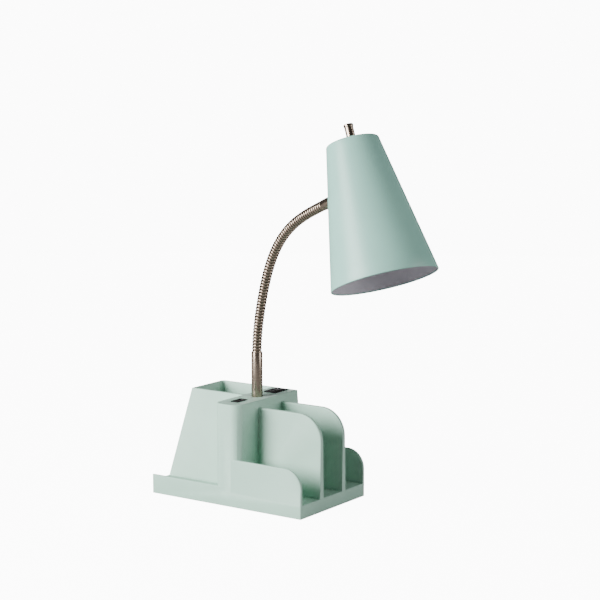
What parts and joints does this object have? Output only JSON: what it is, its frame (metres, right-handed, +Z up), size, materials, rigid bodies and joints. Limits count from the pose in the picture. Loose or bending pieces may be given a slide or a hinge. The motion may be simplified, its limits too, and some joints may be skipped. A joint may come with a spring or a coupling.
{
  "type": "desk lamp with organizer base",
  "caption": "Desk lamp with a flexible neck and tapered shade on an organizer base with pen cup, tablet trough, letter slots, charging port and outlet.",
  "frame": {"origin": "centre of the base footprint, on the desk under the foam pad", "axes": "+X along the long front of the base from the tablet trough to the letter slots, +Y from the front to the back, +Z up"},
  "size_m": [0.4129, 0.2166, 0.4762],
  "materials": {
    "ballast_plate": "bare cut plate",
    "ballast_screws": "zinc plated",
    "base_fitting": "zinc plated",
    "base_lock_washer": "zinc plated",
    "base_nut": "zinc plated",
    "base_pad": "matt foam rubber",
    "base_sleeve": "brushed nickel",
    "base_washer": "zinc plated",
    "base_wires": "sleeving",
    "bottom_cover": "satin moulded plastic",
    "bulb_cap": "rolled",
    "bulb_globe": "frosted",
    "bulb_neck": "satin",
    "bulb_tip": "glazed",
    "charger_board": "solder mask",
    "charger_capacitors": "sleeved can",
    "charger_screws": "zinc plated",
    "charger_transformer": "taped winding",
    "cord_inlet_bush": "matt",
    "cover_screws": "zinc plated",
    "head_fitting": "zinc plated",
    "head_nut": "zinc plated",
    "head_sleeve": "brushed nickel",
    "head_washer": "zinc plated",
    "head_wires": "sleeving",
    "inner_saddle": "zinc plated",
    "lampholder_shell": "moulded",
    "neck_link_01": "brushed nickel",
    "neck_link_02": "brushed nickel",
    "neck_link_03": "brushed nickel",
    "neck_link_04": "brushed nickel",
    "neck_link_05": "brushed nickel",
    "neck_link_06": "brushed nickel",
    "neck_link_07": "brushed nickel",
    "neck_link_08": "brushed nickel",
    "neck_link_09": "brushed nickel",
    "neck_link_10": "brushed nickel",
    "neck_link_11": "brushed nickel",
    "neck_link_12": "brushed nickel",
    "neck_link_13": "brushed nickel",
    "neck_link_14": "brushed nickel",
    "neck_link_15": "brushed nickel",
    "neck_link_16": "brushed nickel",
    "neck_saddle": "brushed nickel",
    "organizer_body": "satin moulded plastic",
    "outlet_body": "satin",
    "outlet_contacts": "bright strip",
    "outlet_face": "satin",
    "ring_nut": "brushed nickel",
    "shade": "satin paint",
    "socket_screw_shell": "bright rolled",
    "socket_tip_spring": "bright",
    "switch_bushing": "brushed nickel",
    "switch_housing": "moulded",
    "switch_knob": "brushed nickel",
    "switch_shaft": "bright",
    "usb_bezel": "satin",
    "usb_contacts": "gold plated",
    "usb_shell": "tin plated",
    "usb_tongue": "satin"
  },
  "bodies": {
    "base": {"ballast_plate": "ballast_plate", "ballast_screws": "ballast_screws", "base_fitting": "base_fitting", "base_lock_washer": "base_lock_washer", "base_nut": "base_nut", "base_pad": "base_pad", "base_sleeve": "base_sleeve", "base_washer": "base_washer", "base_wires": "base_wires", "bottom_cover": "bottom_cover", "charger_board": "charger_board", "charger_capacitors": "charger_capacitors", "charger_screws": "charger_screws", "charger_transformer": "charger_transformer", "cord_inlet_bush": "cord_inlet_bush", "cover_screws": "cover_screws", "neck_link_01": "neck_link_01", "organizer_body": "organizer_body", "outlet_body": "outlet_body", "outlet_contacts": "outlet_contacts", "outlet_face": "outlet_face", "usb_bezel": "usb_bezel", "usb_contacts": "usb_contacts", "usb_shell": "usb_shell", "usb_tongue": "usb_tongue"},
    "link_02": {"neck_link_02": "neck_link_02"},
    "link_03": {"neck_link_03": "neck_link_03"},
    "link_04": {"neck_link_04": "neck_link_04"},
    "link_05": {"neck_link_05": "neck_link_05"},
    "link_06": {"neck_link_06": "neck_link_06"},
    "link_07": {"neck_link_07": "neck_link_07"},
    "link_08": {"neck_link_08": "neck_link_08"},
    "link_09": {"neck_link_09": "neck_link_09"},
    "link_10": {"neck_link_10": "neck_link_10"},
    "link_11": {"neck_link_11": "neck_link_11"},
    "link_12": {"neck_link_12": "neck_link_12"},
    "link_13": {"neck_link_13": "neck_link_13"},
    "link_14": {"neck_link_14": "neck_link_14"},
    "link_15": {"neck_link_15": "neck_link_15"},
    "link_16": {"neck_link_16": "neck_link_16"},
    "head": {"head_fitting": "head_fitting", "head_sleeve": "head_sleeve", "neck_saddle": "neck_saddle", "inner_saddle": "inner_saddle", "head_washer": "head_washer", "head_nut": "head_nut", "shade": "shade", "ring_nut": "ring_nut", "switch_bushing": "switch_bushing", "switch_housing": "switch_housing", "lampholder_shell": "lampholder_shell", "socket_screw_shell": "socket_screw_shell", "socket_tip_spring": "socket_tip_spring", "bulb_cap": "bulb_cap", "bulb_tip": "bulb_tip", "bulb_neck": "bulb_neck", "bulb_globe": "bulb_globe", "head_wires": "head_wires"},
    "knob": {"switch_shaft": "switch_shaft", "switch_knob": "switch_knob"}
  },
  "joints": [
    {"name": "neck_bend", "type": "hinge", "parent": "base", "child": "link_02", "pos_m": [0.00457, -0.00723, 0.19998], "axis": [0.3049, 0.9524, 0], "range_deg": [-8, 7]},
    {"name": "neck_sway", "type": "hinge", "parent": "link_02", "child": "link_03", "pos_m": [0.00657, -0.00787, 0.21583], "axis": [0.939, -0.3006, -0.1674], "range_deg": [-6, 6]},
    {"name": "neck_bend_03", "type": "hinge", "parent": "link_03", "child": "link_04", "pos_m": [0.00953, -0.00882, 0.23153], "axis": [0.3049, 0.9524, 0], "range_deg": [-8, 7]},
    {"name": "neck_sway_04", "type": "hinge", "parent": "link_04", "child": "link_05", "pos_m": [0.0132, -0.00999, 0.24706], "axis": [0.9193, -0.2943, -0.2613], "range_deg": [-6, 6]},
    {"name": "neck_bend_05", "type": "hinge", "parent": "link_05", "child": "link_06", "pos_m": [0.01747, -0.01136, 0.26241], "axis": [0.3049, 0.9524, 0], "range_deg": [-8, 7]},
    {"name": "neck_sway_06", "type": "hinge", "parent": "link_06", "child": "link_07", "pos_m": [0.02241, -0.01294, 0.27755], "axis": [0.8928, -0.2858, -0.3482], "range_deg": [-6, 6]},
    {"name": "neck_bend_07", "type": "hinge", "parent": "link_07", "child": "link_08", "pos_m": [0.02823, -0.01481, 0.29233], "axis": [0.3049, 0.9524, 0], "range_deg": [-8, 7]},
    {"name": "neck_sway_08", "type": "hinge", "parent": "link_08", "child": "link_09", "pos_m": [0.03523, -0.01705, 0.30653], "axis": [0.8235, -0.2636, -0.5024], "range_deg": [-6, 6]},
    {"name": "neck_tilt", "type": "hinge", "parent": "link_09", "child": "link_10", "pos_m": [0.04365, -0.01974, 0.31986], "axis": [0.3049, 0.9524, 0], "range_deg": [-8, 7]},
    {"name": "neck_swing", "type": "hinge", "parent": "link_10", "child": "link_11", "pos_m": [0.05355, -0.02291, 0.332], "axis": [0.682, -0.2183, -0.698], "range_deg": [-6, 6]},
    {"name": "neck_tilt_11", "type": "hinge", "parent": "link_11", "child": "link_12", "pos_m": [0.06484, -0.02652, 0.34274], "axis": [0.3049, 0.9524, 0], "range_deg": [-8, 7]},
    {"name": "neck_swing_12", "type": "hinge", "parent": "link_12", "child": "link_13", "pos_m": [0.07726, -0.0305, 0.35199], "axis": [0.507, -0.1623, -0.8465], "range_deg": [-6, 6]},
    {"name": "neck_tilt_13", "type": "hinge", "parent": "link_13", "child": "link_14", "pos_m": [0.09051, -0.03474, 0.3599], "axis": [0.3049, 0.9524, 0], "range_deg": [-8, 7]},
    {"name": "neck_swing_14", "type": "hinge", "parent": "link_14", "child": "link_15", "pos_m": [0.10429, -0.03915, 0.36672], "axis": [0.3786, -0.1212, -0.9176], "range_deg": [-6, 6]},
    {"name": "neck_tilt_15", "type": "hinge", "parent": "link_15", "child": "link_16", "pos_m": [0.11837, -0.04366, 0.37282], "axis": [0.3049, 0.9524, 0], "range_deg": [-8, 7]},
    {"name": "neck_swing_16", "type": "hinge", "parent": "link_16", "child": "head", "pos_m": [0.13257, -0.0482, 0.37863], "axis": [0.3436, -0.11, -0.9326], "range_deg": [-6, 6]},
    {"name": "knob_turn", "type": "hinge", "parent": "head", "child": "knob", "pos_m": [0.18211, -0.06406, 0.45483], "axis": [-0.3436, 0.11, 0.9326], "continuous": true}
  ],
  "couplings": [
    {"joint": "neck_bend_03", "follows": "neck_bend", "ratio": 1},
    {"joint": "neck_sway_04", "follows": "neck_sway", "ratio": 1},
    {"joint": "neck_bend_05", "follows": "neck_bend", "ratio": 1},
    {"joint": "neck_sway_06", "follows": "neck_sway", "ratio": 1},
    {"joint": "neck_bend_07", "follows": "neck_bend", "ratio": 1},
    {"joint": "neck_sway_08", "follows": "neck_sway", "ratio": 1},
    {"joint": "neck_tilt_11", "follows": "neck_tilt", "ratio": 1},
    {"joint": "neck_swing_12", "follows": "neck_swing", "ratio": 1},
    {"joint": "neck_tilt_13", "follows": "neck_tilt", "ratio": 1},
    {"joint": "neck_swing_14", "follows": "neck_swing", "ratio": 1},
    {"joint": "neck_tilt_15", "follows": "neck_tilt", "ratio": 1},
    {"joint": "neck_swing_16", "follows": "neck_swing", "ratio": 1}
  ]
}
